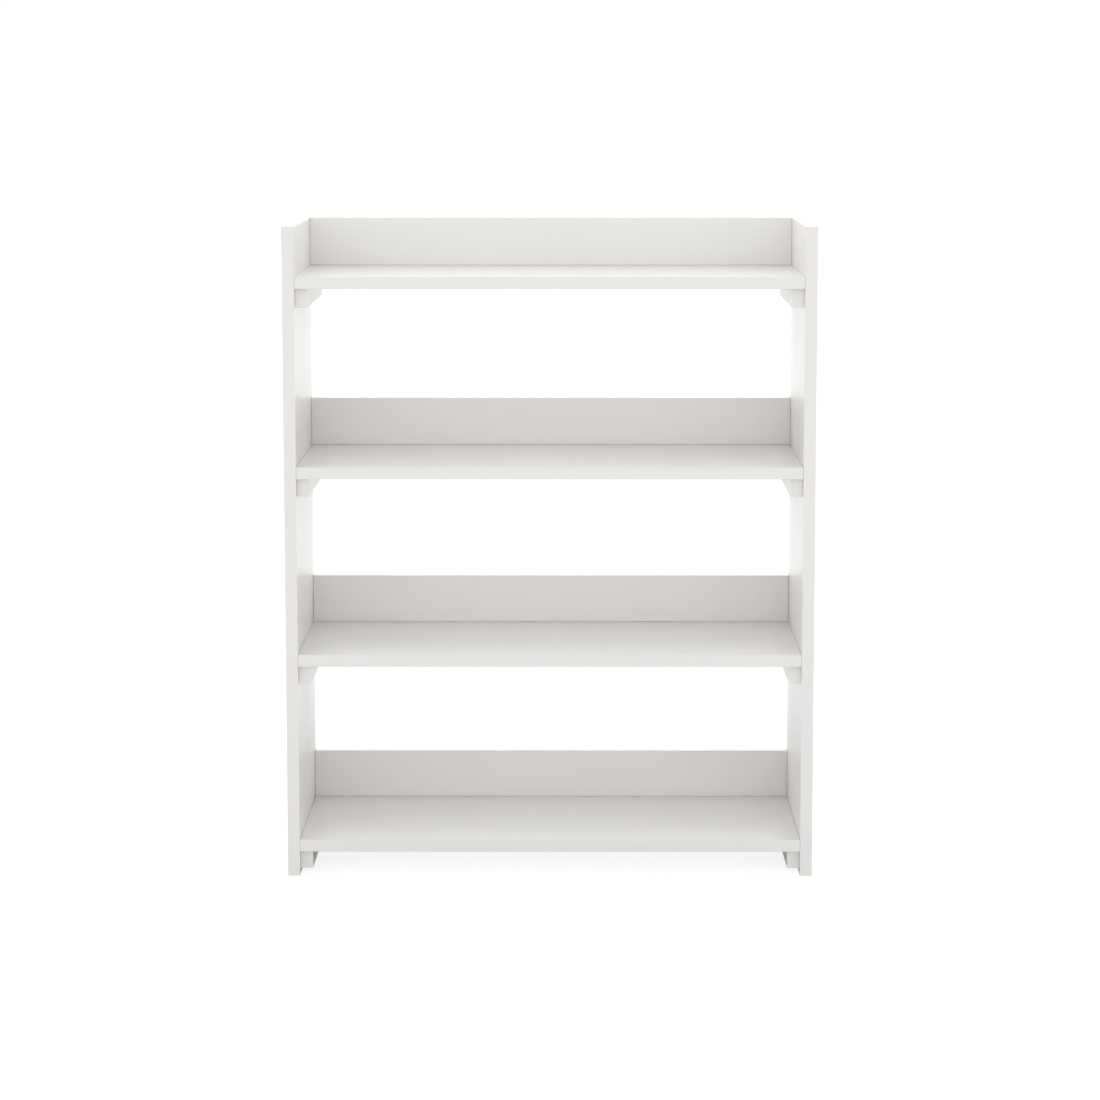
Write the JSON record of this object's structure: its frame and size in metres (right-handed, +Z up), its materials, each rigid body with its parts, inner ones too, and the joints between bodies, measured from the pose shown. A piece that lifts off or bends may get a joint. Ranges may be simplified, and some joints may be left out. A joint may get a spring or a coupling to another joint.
{
  "type": "miniature bookcase",
  "caption": "White doll's house bookcase with an open back: shelves on blocks and cleats between side panels, and a low rail along each shelf's back edge.",
  "frame": {"origin": "on the floor plane, under the middle of the bookcase", "axes": "+Z up; the open front faces -Y and the rails are at the back, +Y; +X is to the right when seen from the front"},
  "size_m": [0.13, 0.052, 0.1608],
  "materials": {
    "white_paint": "warm white satin paint over fine-sanded board, with eased edges",
    "pin_steel": "plain steel pins with flat heads driven flush",
    "beech": "bare turned beech"
  },
  "bodies": {
    "root": {"side_panel_left": "white_paint", "side_panel_right": "white_paint", "shelf_bottom": "white_paint", "shelf_lower": "white_paint", "shelf_upper": "white_paint", "shelf_top": "white_paint", "rail_bottom": "white_paint", "rail_lower": "white_paint", "rail_upper": "white_paint", "rail_top": "white_paint", "front_block_bottom_left": "white_paint", "front_block_bottom_right": "white_paint", "front_block_lower_left": "white_paint", "front_block_lower_right": "white_paint", "front_block_upper_left": "white_paint", "front_block_upper_right": "white_paint", "front_block_top_left": "white_paint", "front_block_top_right": "white_paint", "cleat_bottom_left": "white_paint", "cleat_bottom_right": "white_paint", "cleat_lower_left": "white_paint", "cleat_lower_right": "white_paint", "cleat_upper_left": "white_paint", "cleat_upper_right": "white_paint", "cleat_top_left": "white_paint", "cleat_top_right": "white_paint", "front_block_pin_bottom_left": "pin_steel", "front_block_pin_bottom_right": "pin_steel", "front_block_pin_lower_left": "pin_steel", "front_block_pin_lower_right": "pin_steel", "front_block_pin_upper_left": "pin_steel", "front_block_pin_upper_right": "pin_steel", "front_block_pin_top_left": "pin_steel", "front_block_pin_top_right": "pin_steel", "cleat_pin_bottom_left": "pin_steel", "cleat_pin_bottom_right": "pin_steel", "cleat_pin_lower_left": "pin_steel", "cleat_pin_lower_right": "pin_steel", "cleat_pin_upper_left": "pin_steel", "cleat_pin_upper_right": "pin_steel", "cleat_pin_top_left": "pin_steel", "cleat_pin_top_right": "pin_steel", "shelf_pin_bottom_left": "pin_steel", "shelf_pin_bottom_right": "pin_steel", "shelf_pin_lower_left": "pin_steel", "shelf_pin_lower_right": "pin_steel", "shelf_pin_upper_left": "pin_steel", "shelf_pin_upper_right": "pin_steel", "shelf_pin_top_left": "pin_steel", "shelf_pin_top_right": "pin_steel", "rail_dowel_bottom_left": "beech", "rail_dowel_bottom_right": "beech", "rail_dowel_lower_left": "beech", "rail_dowel_lower_right": "beech", "rail_dowel_upper_left": "beech", "rail_dowel_upper_right": "beech", "rail_dowel_top_left": "beech", "rail_dowel_top_right": "beech"}
  },
  "joints": []
}
